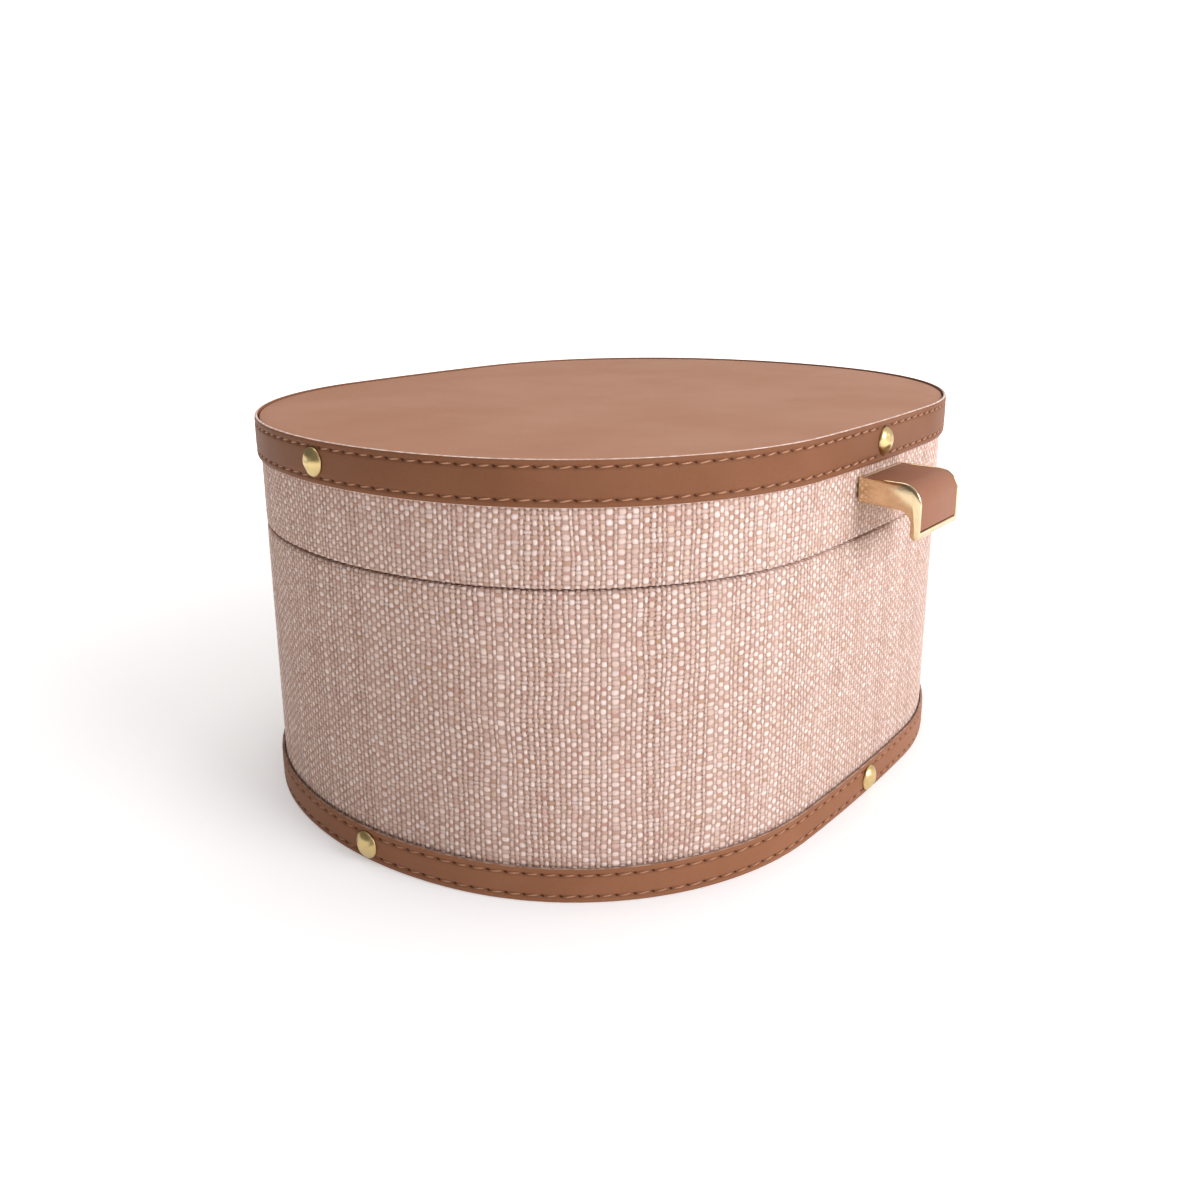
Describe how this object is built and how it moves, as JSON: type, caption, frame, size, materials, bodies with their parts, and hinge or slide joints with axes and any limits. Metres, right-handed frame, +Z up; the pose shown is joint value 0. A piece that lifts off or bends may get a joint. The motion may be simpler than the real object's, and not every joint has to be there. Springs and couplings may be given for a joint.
{
  "type": "storage box",
  "caption": "Oval rigid storage box wrapped in woven cloth, with a hinged lid, leather trim, round studs and a hooked pull.",
  "frame": {"origin": "centre of the oval on the underside of the base", "axes": "+X along the oval's long axis, -Y out of the front with the pull, +Z up"},
  "size_m": [0.3089, 0.2714, 0.15],
  "materials": {
    "linen": "coarse plain weave in pinkish beige",
    "lining": "fine plain cloth in pale beige",
    "tan_leather": "smooth tan leatherette, fine grain, satin",
    "band_leather": "smooth brown leatherette, satin, stitched",
    "board": "raw fibreboard",
    "brass": "polished, lightly dimpled",
    "steel": "zinc plated"
  },
  "bodies": {
    "body": {"base_cover": "band_leather", "base_board": "board", "body_wall": "board", "body_fabric": "linen", "body_lining": "lining", "base_pad": "lining", "rim_collar": "lining", "base_trim": "band_leather", "base_stud_front": "brass", "base_stud_back": "brass", "base_stud_left": "brass", "base_stud_right": "brass", "hinge_body_leaf": "brass", "hinge_pin": "brass", "body_rivet_left": "brass", "body_rivet_right": "brass"},
    "lid": {"lid_wall": "board", "lid_board": "board", "lid_fabric": "linen", "lid_cover": "tan_leather", "lid_lining": "lining", "lid_pad": "lining", "lid_trim": "band_leather", "lid_stud_front": "brass", "lid_stud_back": "brass", "lid_stud_left": "brass", "lid_stud_right": "brass", "pull_frame": "brass", "pull_inlay": "tan_leather", "pull_plate": "steel", "pull_screw_left": "steel", "pull_screw_right": "steel", "hinge_lid_leaf": "brass", "lid_rivet_left": "brass", "lid_rivet_right": "brass"}
  },
  "joints": [
    {"name": "lid_hinge", "type": "hinge", "parent": "body", "child": "lid", "pos_m": [0, 0.124, 0.1084], "axis": [-1, 0, 0], "range_deg": [0, 95]}
  ]
}
